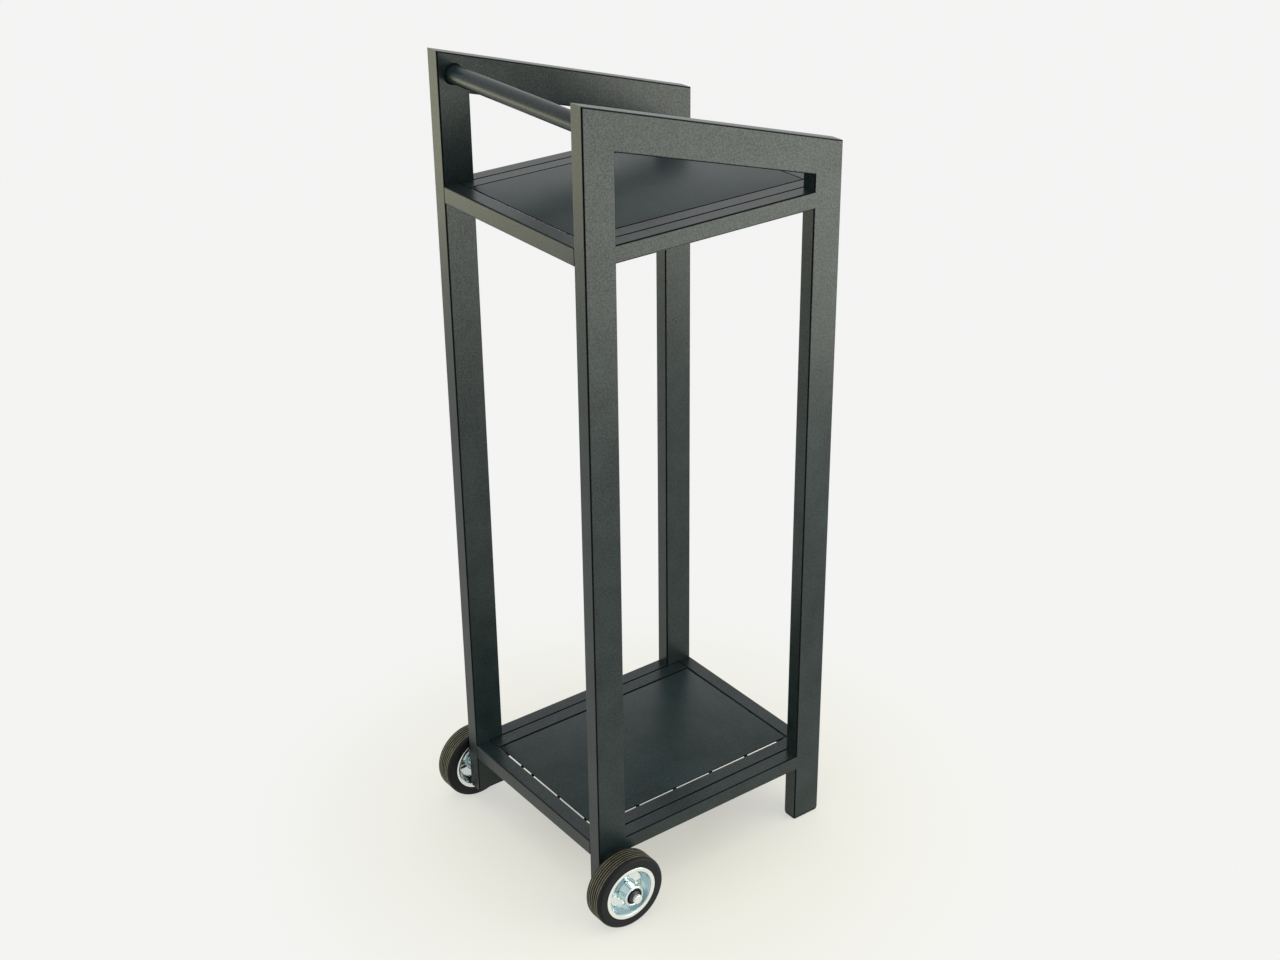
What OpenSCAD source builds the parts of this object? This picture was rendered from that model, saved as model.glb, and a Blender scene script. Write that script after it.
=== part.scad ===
// Fireside log cart: two welded side frames of flat tube, joined by a log deck, a shelf and
// a round handle bar. It rolls on two wheels at the rear and stands on two feet at the front.
// X runs across the cart, -Y is the rear (handle and wheels), +Y the front (feet), Z is up.
// The origin lies on the floor, at the middle of the ground that the cart covers.
// "right" is the +X side, as seen by a person who pushes the cart. All sizes in millimetres.

/* [Overall size] */
// Width across the outer faces of the two side frames
cart_w = 303; // [240:1:420]
// Depth of a side frame, from the rear face of the rear post to the front face of the front post
cart_d = 365; // [280:1:500]
// Height of the shelf's top above the floor
shelf_h = 891; // [500:1:1100]
// Rise of the side frames above the shelf at the rear
rear_rise = 159; // [80:1:260]
// Rise of the side frames above the shelf at the front
front_rise = 53; // [45:1:150]

/* [Flat tube of the side frames] */
// Width of a post, front to rear
post_w = 41.5; // [34:0.5:60]
// Thickness of the side frames, across the cart
post_t = 21; // [16:0.5:30]
// Depth of the sloping top bar, square to its length
bar_depth = 43; // [30:0.5:44]
// Wall of the flat tube
tube_wall = 2; // [1:0.1:3]
// Outside corner radius of all the steel tube
edge_r = 2; // [1:0.1:3]

/* [Shelf and log deck] */
// Height of a tray rail, and its width where it lies inside the side frames
rail = 21.5; // [16:0.5:30]
// Wall of the rails
rail_wall = 1.5; // [1:0.1:2.5]
// Height of the log deck's top above the floor
deck_h = 105; // [80:1:200]
// Thickness of the two sheets
sheet_t = 1.5; // [1:0.1:3]
// Gap between the shelf's sheet and its rails
shelf_gap = 0.8; // [0.5:0.1:5]
// Gap between the log deck's sheet and its rails
deck_gap = 2; // [0.5:0.1:5]
// Length of a tack weld
tack_l = 5; // [3:0.5:10]
// Spacing of the tack welds
tack_pitch = 60; // [40:1:80]
// Depth of a tack weld
tack_h = 4; // [3.5:0.1:6]
// How far a tack weld's top lies below the sheet's top
tack_set = 0.2; // [0:0.1:1]

/* [Handle] */
// Diameter of the handle bar
handle_d = 21.5; // [16:0.5:28]
// Wall of the handle tube
handle_wall = 2; // [1:0.1:3]
// Handle's axis below the top of the side frames
handle_drop = 30; // [22:1:80]

/* [Wheels] */
// Diameter of a wheel
wheel_d = 100; // [92:1:125]
// Width of a tyre
tyre_w = 30; // [24:1:36]
// Radius of the tyre's shoulders
shoulder_r = 5; // [2:0.5:7]
// Width and depth of a tread groove
groove = 1; // [0.5:0.1:2]
// Spacing of the three tread grooves
groove_pitch = 3.6; // [2.5:0.1:5]
// Outside diameter of the rim's flanges
rim_d = 73.5; // [70:0.5:80]
// Width of the rim's rolled flange
flange_w = 5.8; // [4:0.1:8]
// How much the dish narrows, on the radius, from the flange to its flat web
dish_taper = 4.5; // [2:0.1:8]
// Thickness of the rim's pressed steel
rim_t = 1.5; // [1:0.1:2]
// Height of the web's four pressed pads
pad_h = 1.2; // [0.5:0.1:2]
// Length of a clinched tab, along the wheel's radius
tab_l = 5.6; // [4:0.1:7]
// Width of a clinched tab
tab_w = 3.4; // [2:0.1:5]
// Thickness of a tab's two legs
tab_leg = 1.4; // [1:0.1:2]
// How far the hub stands out on either side of the tyre
hub_stand = 6.5; // [4:0.1:15]
// Outside diameter of the hub tube
hub_d = 25; // [22:0.5:27]
// Wall of the hub tube
hub_wall = 1.5; // [1:0.1:2.5]
// How far the rolled lips at the hub's ends stand out
hub_lip = 1.2; // [0.5:0.1:2]

/* [Axles] */
// Diameter of an axle pin
axle_d = 12; // [8:0.5:14]
// Length of the rear posts below the axles' centres
post_below_axle = 21.5; // [16:0.5:30]
// Running clearance round an axle pin
axle_play = 0.05; // [0.02:0.01:0.1]
// Diameter of the washer between post and hub
washer_d = 24; // [18:0.5:30]
// Thickness of that washer
washer_t = 1.5; // [1:0.1:3]
// Thickness of the retaining ring
ring_t = 1; // [0.8:0.1:1.5]
// Radial width of the retaining ring
ring_w = 2.6; // [1.5:0.1:3.5]
// Depth of the groove that the retaining ring sits in
ring_groove = 0.3; // [0.2:0.05:0.6]
// How far an axle pin stands out past its retaining ring
pin_tail = 8; // [2:0.1:10]

/* [Feet and caps] */
// Thickness of a front foot's head
foot_t = 5; // [4:0.5:10]
// Thickness of a rear cap's head
cap_t = 3; // [2.6:0.1:5]
// Radius of a head's lower edges, as far as its thickness allows
head_r = 3.5; // [1:0.1:4]
// Length of a front foot's plug inside its post
plug_l = 15; // [6:0.5:30]
// Wall of the plug
plug_wall = 2; // [1:0.1:3]
// Clearance round the plug
plug_play = 0.2; // [0.1:0.05:0.5]

/* [Hidden] */

right = 1;
left = -1;
$fn = 96;
far = 2000;  // longer than anything on the cart

powder_coat = [0.23, 0.24, 0.24];
zinc = [0.78, 0.82, 0.84];
bright_steel = [0.86, 0.87, 0.88];
spring_steel = [0.30, 0.30, 0.31];
rubber = [0.14, 0.14, 0.14];
black_plastic = [0.09, 0.09, 0.10];

// Places of the frame
rear_h = shelf_h + rear_rise;
front_h = shelf_h + front_rise;
half_w = cart_w / 2;
in_x = half_w - post_t;
frame_x = half_w - post_t / 2;
overhang = max(0, wheel_d / 2 - post_w / 2);
rear_y = -(cart_d - overhang) / 2;
front_y = rear_y + cart_d;
mid_y = (rear_y + front_y) / 2;
slope = atan((rear_h - front_h) / cart_d);
bar_l = cart_d / cos(slope);

// The mitre lines between posts and top bar, in the Y-Z plane
function underside(y) = rear_h - (y - rear_y) * tan(slope) - bar_depth / cos(slope);
rear_corner = [rear_y, rear_h];
rear_inner = [rear_y + post_w, underside(rear_y + post_w)];
front_corner = [front_y, front_h];
front_inner = [front_y - post_w, underside(front_y - post_w)];

// Places of the axle and the wheel along X, on the right side
axle_y = rear_y + post_w / 2;
axle_z = wheel_d / 2;
side_play = 0.3;
hub_l = tyre_w + 2 * hub_stand;
hub_x = half_w + washer_t + side_play;
wheel_x = hub_x + hub_l / 2;
bush_recess = 1;
ring_x = hub_x + hub_l - bush_recess + side_play;
rear_clear = axle_z - post_below_axle;
pin_r = axle_d / 2;
pin_start = in_x + tube_wall;
pin_end = ring_x + ring_t + pin_tail;
groove_r = pin_r - ring_groove;
seat_play = 0.05;
weld_play = 0.1;
pin_room = 2;

// Radii of the rim's dish, from the hub out
tab_gap = 0.5;
slot_play = 0.2;
hub_r = hub_d / 2;
rim_r = rim_d / 2;
lip_r = rim_r - flange_w;
web_r = lip_r - dish_taper;
flange_u = tyre_w / 2;
tab_in = hub_r + hub_lip + tab_gap;
tab_out = tab_in + tab_l;
pad_angle = 68;

// ---- general shapes ----

// A rectangle a by b with corners of radius r, about the origin
module round_rect(a, b, r) {
    square([a - 2 * r, b], center = true);
    square([a, b - 2 * r], center = true);
    for (sx = [-1, 1], sy = [-1, 1])
        translate([sx * (a / 2 - r), sy * (b / 2 - r)])
            circle(r = r);
}

// Rectangular tube along Z from 0 to l, a wide in X and b wide in Y
module box_tube(a, b, l, wall) {
    inner_r = max(edge_r - wall, 0.4);
    difference() {
        linear_extrude(l)
            round_rect(a, b, edge_r);
        translate([0, 0, -1])
            linear_extrude(l + 2)
                round_rect(a - 2 * wall, b - 2 * wall, inner_r);
    }
}

// Turns a shape drawn along Z so that it runs along X or Y
module along_x() { rotate([0, 90, 0]) children(); }
module along_y() { rotate([-90, 0, 0]) children(); }

// Puts a piece of the right side on either side
module on_side(side) {
    if (side == right) children();
    else mirror([1, 0, 0]) children();
}

// Everything to the left of the line from p to q, drawn in the Y-Z plane
module beyond(p, q) {
    d = (q - p) / norm(q - p);
    n = [-d[1], d[0]];
    translate([-far / 2, 0, 0])
        rotate([90, 0, 90])
            linear_extrude(far)
                polygon([p - far * d, q + far * d, q + far * (d + n), p + far * (n - d)]);
}

// ---- side frames ----

module rear_post(side) {
    foot_z = rear_clear + cap_t;
    color(powder_coat)
        on_side(side)
            difference() {
                translate([frame_x, rear_y + post_w / 2, foot_z])
                    box_tube(post_t, post_w, rear_h - foot_z, tube_wall);
                beyond(rear_corner, rear_inner);
                translate([pin_start, axle_y, axle_z])
                    along_x()
                        cylinder(r = pin_r + weld_play, h = post_t);
            }
}

module front_post(side) {
    post_h = max(front_corner[1], front_inner[1]);
    color(powder_coat)
        on_side(side)
            difference() {
                translate([frame_x, front_y - post_w / 2, foot_t])
                    box_tube(post_t, post_w, post_h - foot_t, tube_wall);
                beyond(front_inner, front_corner);
            }
}

module top_bar(side) {
    over = post_w + bar_depth;
    color(powder_coat)
        on_side(side)
            difference() {
                translate([frame_x, rear_y, rear_h])
                    rotate([-(90 + slope), 0, 0])
                        translate([0, bar_depth / 2, -over])
                            box_tube(post_t, bar_depth, bar_l + 2 * over, tube_wall);
                beyond(rear_inner, rear_corner);
                beyond(front_corner, front_inner);
            }
}

// A rail between the posts of a side frame, with its top at top_z
module side_frame_rail(side, top_z) {
    color(powder_coat)
        on_side(side)
            translate([frame_x, rear_y + post_w, top_z - rail / 2])
                along_y()
                    box_tube(post_t, rail, cart_d - 2 * post_w, rail_wall);
}

// ---- shelf and log deck ----

// A rail across the cart, flush with the posts' outer faces at y
module cross_rail(y, top_z) {
    color(powder_coat)
        translate([-in_x, y, top_z - rail / 2])
            along_x()
                box_tube(rail, rail, 2 * in_x, rail_wall);
}

// A rail from front to rear, against the inside of a side frame
module tray_rail(side, top_z) {
    color(powder_coat)
        on_side(side)
            translate([in_x - rail / 2, rear_y + rail, top_z - rail / 2])
                along_y()
                    box_tube(rail, rail, cart_d - 2 * rail, rail_wall);
}

module sheet(top_z, gap) {
    color(powder_coat)
        translate([0, mid_y, top_z - sheet_t])
            linear_extrude(sheet_t)
                square([2 * (in_x - rail - gap), cart_d - 2 * (rail + gap)], center = true);
}

// Places of the tack welds along one half of an edge that is 2 * half_l long
function tack_places(half_l) =
    [for (p = [tack_pitch / 2 : tack_pitch : half_l - 2 * tack_l]) p];

// Tack welds that fill the gap along all four edges of a sheet
module tack_welds(top_z, gap) {
    half_x = in_x - rail;
    half_y = cart_d / 2 - rail;
    bead_z = top_z - tack_h;
    bead_h = tack_h - tack_set;
    color(powder_coat)
        translate([0, mid_y, bead_z])
            for (s = [-1, 1], e = [-1, 1]) {
                for (p = tack_places(half_x))
                    translate([s * p, e * (half_y - gap / 2), bead_h / 2])
                        cube([tack_l, gap, bead_h], center = true);
                for (p = tack_places(half_y))
                    translate([e * (half_x - gap / 2), s * p, bead_h / 2])
                        cube([gap, tack_l, bead_h], center = true);
            }
}

// ---- handle ----

module handle_bar() {
    color(powder_coat)
        translate([-in_x, rear_y + post_w / 2, rear_h - handle_drop])
            along_x()
                difference() {
                    cylinder(d = handle_d, h = 2 * in_x);
                    translate([0, 0, -1])
                        cylinder(d = handle_d - 2 * handle_wall, h = 2 * in_x + 2);
                }
}

// ---- feet and caps ----

// Outline of a head seen from one side: w wide, t high, with both lower corners rounded
module head_profile(w, t) {
    r = min(head_r, t - 0.4);
    translate([-w / 2, r])
        square([w, t - r]);
    translate([-w / 2 + r, 0])
        square([w - 2 * r, t]);
    for (s = [-1, 1])
        translate([s * (w / 2 - r), r])
            circle(r = r);
}

// Plug of moulded plastic: a head t thick under the tube's end and a hollow shank inside it
module tube_plug(t, shank_l) {
    inside_x = post_t - 2 * (tube_wall + plug_play);
    inside_y = post_w - 2 * (tube_wall + plug_play);
    corner = max(edge_r - tube_wall, 0.4);
    intersection() {
        linear_extrude(t)
            round_rect(post_t, post_w, edge_r);
        translate([0, post_w, 0])
            rotate([90, 0, 0])
                linear_extrude(2 * post_w)
                    head_profile(post_t, t);
        translate([-post_t, 0, 0])
            rotate([90, 0, 90])
                linear_extrude(2 * post_t)
                    head_profile(post_w, t);
    }
    translate([0, 0, t])
        difference() {
            linear_extrude(shank_l)
                round_rect(inside_x, inside_y, corner);
            linear_extrude(shank_l + 1)
                round_rect(inside_x - 2 * plug_wall, inside_y - 2 * plug_wall, corner);
        }
}

module front_foot(side) {
    color(black_plastic)
        on_side(side)
            translate([frame_x, front_y - post_w / 2, 0])
                tube_plug(foot_t, plug_l);
}

module rear_cap(side) {
    color(black_plastic)
        on_side(side)
            translate([frame_x, rear_y + post_w / 2, rear_clear])
                tube_plug(cap_t, post_below_axle - cap_t - pin_r - pin_room);
}

// ---- axles ----

// Puts a shape on the right axle's line, at a place along X
module on_axle(side, x) {
    on_side(side)
        translate([x, axle_y, axle_z])
            along_x()
                children();
}

module axle_pin(side) {
    chamfer = 1;
    groove_h = ring_t + 2 * seat_play;
    length = pin_end - pin_start;
    color(bright_steel)
        on_axle(side, pin_start)
            difference() {
                union() {
                    cylinder(r = pin_r, h = length - chamfer);
                    translate([0, 0, length - chamfer])
                        cylinder(r1 = pin_r, r2 = pin_r - chamfer, h = chamfer);
                }
                translate([0, 0, ring_x - pin_start - seat_play])
                    difference() {
                        cylinder(r = pin_r + 1, h = groove_h);
                        translate([0, 0, -1])
                            cylinder(r = groove_r, h = groove_h + 2);
                    }
            }
}

module axle_washer(side) {
    color(zinc)
        on_axle(side, half_w)
            difference() {
                cylinder(d = washer_d, h = washer_t);
                translate([0, 0, -1])
                    cylinder(r = pin_r + weld_play, h = washer_t + 2);
            }
}

// Open ring with two lugs, sprung into the pin's groove
module retaining_ring(side) {
    ring_in = groove_r + seat_play;
    ring_out = ring_in + ring_w;
    lug_r = 0.6 * ring_w;
    lug_place = ring_in + lug_r;
    mouth = 40;
    lug_turn = mouth / 2 + 12;
    color(spring_steel)
        on_axle(side, ring_x)
            linear_extrude(ring_t)
                difference() {
                    union() {
                        difference() {
                            circle(r = ring_out);
                            polygon([
                                [0, 0],
                                [-2 * ring_out, -2 * ring_out * tan(mouth / 2)],
                                [-2 * ring_out, 2 * ring_out * tan(mouth / 2)]
                            ]);
                        }
                        for (s = [-1, 1])
                            rotate(180 + s * lug_turn)
                                translate([lug_place, 0])
                                    circle(r = lug_r);
                    }
                    circle(r = ring_in);
                }
}

// ---- wheels ----

// Puts a shape on the wheel, whose own axis is Z with 0 at the tyre's middle
module on_wheel(side) {
    on_axle(side, wheel_x) children();
}

// Solid rubber tyre, clamped between the two rim halves
module tyre(side) {
    bead_play = 0.3;
    r = wheel_d / 2;
    u = flange_u;
    color(rubber)
        on_wheel(side)
            rotate_extrude()
                difference() {
                    union() {
                        translate([web_r, -u])
                            square([r - shoulder_r - web_r, 2 * u]);
                        translate([web_r, -u + shoulder_r])
                            square([r - web_r, 2 * (u - shoulder_r)]);
                        for (s = [-1, 1])
                            translate([r - shoulder_r, s * (u - shoulder_r)])
                                circle(r = shoulder_r);
                    }
                    for (i = [-1, 0, 1])
                        translate([r - groove, i * groove_pitch - groove / 2])
                            square([2 * groove, groove]);
                    for (s = [-1, 1])
                        polygon([
                            [web_r - 1, 0],
                            [web_r + rim_t, 0],
                            [lip_r + rim_t, s * (u - rim_t)],
                            [rim_r + bead_play, s * (u - rim_t)],
                            [rim_r + bead_play, s * (u + 1)],
                            [web_r - 1, s * (u + 1)]
                        ]);
                }
}

// The four corners of the web where the tabs sit
module at_tabs() {
    for (a = [0 : 90 : 270])
        rotate(a) children();
}

// Pressed half of the rim: flat web, dished wall and rolled flange. Its inner face is at Z = 0.
module rim_half() {
    edge = rim_t / 2;
    rotate_extrude() {
        polygon([
            [hub_r, 0],
            [hub_r, rim_t],
            [web_r, rim_t],
            [lip_r, flange_u - rim_t],
            [lip_r + rim_t, flange_u],
            [rim_r - edge, flange_u],
            [rim_r - edge, flange_u - rim_t],
            [lip_r + rim_t, flange_u - rim_t],
            [web_r + rim_t, 0]
        ]);
        translate([rim_r - edge, flange_u - edge])
            circle(r = edge);
    }
}

// Sector of a ring from radius r0 to r1, about the direction of +X, a degrees wide
module sector(r0, r1, a) {
    reach = 2 * r1;
    intersection() {
        difference() {
            circle(r = r1);
            circle(r = r0);
        }
        polygon([[0, 0], [reach, -reach * tan(a / 2)], [reach, reach * tan(a / 2)]]);
    }
}

module web_pads() {
    for (a = [45 : 90 : 315])
        rotate(a)
            translate([0, 0, rim_t / 2])
                linear_extrude(rim_t / 2 + pad_h)
                    sector(tab_in, web_r - 1, pad_angle);
}

// Slots for the tabs' legs, a little longer than the legs
module tab_slots() {
    at_tabs()
        for (r = [tab_in, tab_out - tab_leg])
            translate([r - slot_play, -tab_w / 2 - slot_play, -1])
                cube([tab_leg + 2 * slot_play, tab_w + 2 * slot_play, rim_t + 2]);
}

module rim_outer_half(side) {
    color(zinc)
        on_wheel(side)
            difference() {
                union() {
                    rim_half();
                    web_pads();
                }
                tab_slots();
            }
}

module rim_inner_half(side) {
    color(zinc)
        on_wheel(side)
            mirror([0, 0, 1])
                union() {
                    rim_half();
                    web_pads();
                }
}

// Tabs of the inner half that come through the outer half's slots and are bent together
module rim_tabs(side) {
    bridge = 1;
    color(zinc)
        on_wheel(side)
            at_tabs() {
                translate([tab_in, -tab_w / 2, rim_t])
                    cube([tab_out - tab_in, tab_w, bridge]);
                for (r = [tab_in, tab_out - tab_leg])
                    translate([r, -tab_w / 2, 0])
                        cube([tab_leg, tab_w, rim_t]);
            }
}

module hub_tube(side) {
    lip_t = 1.5;
    color(zinc)
        on_wheel(side)
            difference() {
                union() {
                    cylinder(r = hub_r, h = hub_l, center = true);
                    for (s = [-1, 1])
                        translate([0, 0, s * (hub_l - lip_t) / 2])
                            cylinder(r = hub_r + hub_lip, h = lip_t, center = true);
                }
                cylinder(r = hub_r - hub_wall, h = hub_l + 2, center = true);
            }
}

module hub_bush(side) {
    bush_l = hub_l - 2 * bush_recess;
    color(black_plastic)
        on_wheel(side)
            difference() {
                cylinder(r = hub_r - hub_wall, h = bush_l, center = true);
                cylinder(r = pin_r + axle_play, h = bush_l + 2, center = true);
            }
}

// ---- nodes ----

rear_post(right);  // right_rear_post
front_post(right);  // right_front_post
top_bar(right);  // right_top_bar
side_frame_rail(right, shelf_h);  // right_shelf_side_rail
side_frame_rail(right, deck_h);  // right_deck_side_rail
rear_post(left);  // left_rear_post
front_post(left);  // left_front_post
top_bar(left);  // left_top_bar
side_frame_rail(left, shelf_h);  // left_shelf_side_rail
side_frame_rail(left, deck_h);  // left_deck_side_rail
handle_bar();
cross_rail(rear_y + rail / 2, shelf_h);  // shelf_rear_rail
cross_rail(front_y - rail / 2, shelf_h);  // shelf_front_rail
tray_rail(right, shelf_h);  // shelf_right_rail
tray_rail(left, shelf_h);  // shelf_left_rail
sheet(shelf_h, shelf_gap);  // shelf_sheet
tack_welds(shelf_h, shelf_gap);  // shelf_tack_welds
cross_rail(rear_y + rail / 2, deck_h);  // deck_rear_rail
cross_rail(front_y - rail / 2, deck_h);  // deck_front_rail
tray_rail(right, deck_h);  // deck_right_rail
tray_rail(left, deck_h);  // deck_left_rail
sheet(deck_h, deck_gap);  // deck_sheet
tack_welds(deck_h, deck_gap);  // deck_tack_welds
front_foot(right);  // right_front_foot
front_foot(left);  // left_front_foot
rear_cap(right);  // right_rear_cap
rear_cap(left);  // left_rear_cap
axle_pin(right);  // right_axle_pin
axle_washer(right);  // right_axle_washer
retaining_ring(right);  // right_retaining_ring
axle_pin(left);  // left_axle_pin
axle_washer(left);  // left_axle_washer
retaining_ring(left);  // left_retaining_ring
tyre(right);  // right_tyre
rim_outer_half(right);  // right_rim_outer_half
rim_inner_half(right);  // right_rim_inner_half
rim_tabs(right);  // right_rim_tabs
hub_tube(right);  // right_hub_tube
hub_bush(right);  // right_hub_bush
tyre(left);  // left_tyre
rim_outer_half(left);  // left_rim_outer_half
rim_inner_half(left);  // left_rim_inner_half
rim_tabs(left);  // left_rim_tabs
hub_tube(left);  // left_hub_tube
hub_bush(left);  // left_hub_bush
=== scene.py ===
"""Looks of the fireside log cart: finishes, wheels, axles, plates, welds and feet, and the studio.

The cart stands on the floor with its handle and wheels to the rear (-Y) and its feet to the front (+Y).
Sizes are in metres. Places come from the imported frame, and each class holds its own pieces' sizes.
"""

import logging
import math
from collections.abc import Callable, Iterator
from contextlib import contextmanager
from dataclasses import dataclass
from enum import Enum

import bmesh
import bpy
from mathutils import Matrix, Vector


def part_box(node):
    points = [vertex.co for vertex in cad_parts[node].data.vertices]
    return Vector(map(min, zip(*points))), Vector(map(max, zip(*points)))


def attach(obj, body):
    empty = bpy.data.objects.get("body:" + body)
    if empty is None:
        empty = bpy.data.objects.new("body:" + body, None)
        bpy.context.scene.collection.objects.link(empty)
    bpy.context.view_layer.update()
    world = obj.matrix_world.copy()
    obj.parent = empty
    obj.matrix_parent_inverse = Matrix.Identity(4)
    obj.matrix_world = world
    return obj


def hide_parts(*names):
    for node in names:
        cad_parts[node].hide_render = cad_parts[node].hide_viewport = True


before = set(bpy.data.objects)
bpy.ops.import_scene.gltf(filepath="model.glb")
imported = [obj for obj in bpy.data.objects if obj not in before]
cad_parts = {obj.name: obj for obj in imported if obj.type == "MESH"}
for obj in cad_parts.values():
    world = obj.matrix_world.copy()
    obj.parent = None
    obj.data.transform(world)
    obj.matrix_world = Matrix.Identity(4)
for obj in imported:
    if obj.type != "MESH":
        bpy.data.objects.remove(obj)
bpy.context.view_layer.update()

MM = 0.001
NEAR = 0.05 * MM  # places closer together than this count as one
log = logging.getLogger("log_cart")

Colour = tuple[float, float, float, float]
Outline = list[tuple[float, float]]
Span = tuple[float, float]  # from a low value to a high one
Rise = tuple[float, float]  # where a tone starts, and how far it takes to get there
Piece = bpy.types.Object
Socket = bpy.types.NodeSocket
Wanted = Callable[..., bool]


class Side(Enum):
    """Right and left, as a person who pushes the cart sees them. The value is the sign of X."""

    RIGHT = 1
    LEFT = -1

    @property
    def word(self) -> str:
        """The side's name, as it starts the names of pieces and nodes."""
        return self.name.lower()


class Body(Enum):
    """The rigid bodies that pieces ride on."""

    FRAME = "frame"
    RIGHT_WHEEL = "right_wheel"
    LEFT_WHEEL = "left_wheel"

    @classmethod
    def wheel(cls, side: Side) -> "Body":
        """The wheel's body on one side."""
        return cls.RIGHT_WHEEL if side is Side.RIGHT else cls.LEFT_WHEEL


class Slot(Enum):
    """The record's material slots."""

    POWDER = "powder_coat"
    ZINC = "zinc"
    BRIGHT = "bright_steel"
    SPRING = "spring_steel"
    RUBBER = "tyre_rubber"
    PLASTIC = "black_plastic"


class Element(Enum):
    """What edit mode selects. The name is the operators' word for it, the value the mesh's own."""

    VERT = "verts"
    EDGE = "edges"
    FACE = "faces"


# ---------------------------------------------------------------- finishes


class Wiring:
    """A node tree whose nodes are wired one after the other."""

    def __init__(self, tree: bpy.types.NodeTree) -> None:
        """Takes the tree that it adds to."""
        self.tree = tree

    def add(
        self, kind: str, inputs: dict[str | int, object] | None = None, **settings: object
    ) -> bpy.types.Node:
        """Adds a node.

        Args:
            kind: The node's type, without its "ShaderNode" prefix.
            inputs: Values or output sockets for the node's inputs, by name or number.
            settings: The node's own properties.

        Returns:
            The new node.
        """
        node = self.tree.nodes.new("ShaderNode" + kind)
        for name, value in settings.items():
            setattr(node, name, value)
        for key, value in (inputs or {}).items():
            self.feed(node, key, value)
        return node

    def feed(self, node: bpy.types.Node, key: str | int, value: object) -> None:
        """Sets one input of a node, or links an output to it.

        Args:
            node: The node that is fed.
            key: The input's name or number.
            value: A value or an output socket.
        """
        if isinstance(value, Socket):
            self.tree.links.new(value, node.inputs[key])
        else:
            node.inputs[key].default_value = value

    def maths(self, operation: str, a: object, b: object = 0.0) -> Socket:
        """One sum on two numbers or sockets."""
        return self.add("Math", {0: a, 1: b}, operation=operation).outputs[0]

    def seen(self) -> Socket:
        """Finds out what sees the surface.

        Returns:
            1 for the camera, mirrors and glass, and 0 for the light that falls on other things.
        """
        path = self.add("LightPath").outputs
        seen = self.maths("MAXIMUM", path["Is Camera Ray"], path["Is Glossy Ray"])
        return self.maths("MAXIMUM", seen, path["Is Transmission Ray"])


class Shading(Wiring):
    """A material with one surface shader."""

    def __init__(self, name: str) -> None:
        """Starts the material.

        Args:
            name: The material's name.
        """
        self.material = bpy.data.materials.new(name)
        self.material.use_nodes = True
        super().__init__(self.material.node_tree)
        self.surface = self.tree.nodes["Principled BSDF"]

    def place(self, centre: Vector | None = None) -> Socket:
        """The point on the piece, in the row frame or about a centre.

        Args:
            centre: The point that becomes the pattern's origin.

        Returns:
            A vector in metres.
        """
        point = self.add("TexCoord").outputs["Object"]
        if centre is None:
            return point
        return self.add("Mapping", {"Vector": point, "Location": -centre}).outputs["Vector"]

    def noise(self, point: Socket, size: float, detail: float = 2.0) -> Socket:
        """Cloudy noise from 0 to 1, with clouds of a size in metres."""
        return self.add("TexNoise", {"Vector": point, "Scale": 1 / size, "Detail": detail}).outputs["Fac"]

    def ramp(self, value: Socket, places: Span, low: Colour, high: Colour) -> Socket:
        """Turns a value into a colour.

        Args:
            value: A number from 0 to 1.
            places: The value at which the low colour ends, and the one at which the high one starts.
            low: The colour of low values.
            high: The colour of high values.

        Returns:
            The colour.
        """
        node = self.add("ValToRGB", {"Fac": value})
        for mark, place, colour in zip(node.color_ramp.elements, places, (low, high), strict=True):
            mark.position = place
            mark.color = colour
        return node.outputs["Color"]

    def span(self, value: Socket, low: float, high: float) -> Socket:
        """Stretches a value from 0 to 1 to the span from low to high."""
        return self.add("MapRange", {"Value": value, "To Min": low, "To Max": high}).outputs["Result"]

    def step(self, value: Socket, start: float, width: float) -> Socket:
        """Share that is 0 below the start and rises to 1 over the width."""
        inputs = {"Value": value, "From Min": start, "From Max": start + width}
        return self.add("MapRange", inputs).outputs["Result"]

    def blend(self, share: object, a: object, b: object) -> Socket:
        """Colour a at share 0 and colour b at share 1."""
        return self.add("Mix", {0: share, 6: a, 7: b}, data_type="RGBA").outputs[2]

    def bump(self, height: Socket, depth: float, strength: float) -> None:
        """Lets a height from 0 to 1 show as relief of a depth in metres."""
        node = self.add("Bump", {"Height": height, "Distance": depth, "Strength": strength})
        self.feed(self.surface, "Normal", node.outputs["Normal"])

    def across(self, centre: Vector) -> Socket:
        """Place along the axle from the nearer wheel's middle, outwards, on both sides alike."""
        side = self.maths("ABSOLUTE", self.add("SeparateXYZ", {"Vector": self.place()}).outputs["X"])
        return self.maths("SUBTRACT", side, centre.x)

    def radius(self, point: Socket) -> Socket:
        """Distance from the X axis, which is the axle's line on a centred point."""
        flat = self.add("VectorMath", {0: point, 1: (0, 1, 1)}, operation="MULTIPLY").outputs[0]
        return self.add("VectorMath", {0: flat}, operation="LENGTH").outputs["Value"]

    def rings(self, away: Socket, pitch: float) -> Socket:
        """Fine rings round the axle, from -1 to 1."""
        return self.maths("SINE", self.maths("MULTIPLY", away, math.tau / pitch))


@dataclass(frozen=True)
class Finish:
    """A material, and the record's slot that it fills."""

    material: bpy.types.Material
    slot: Slot


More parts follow.
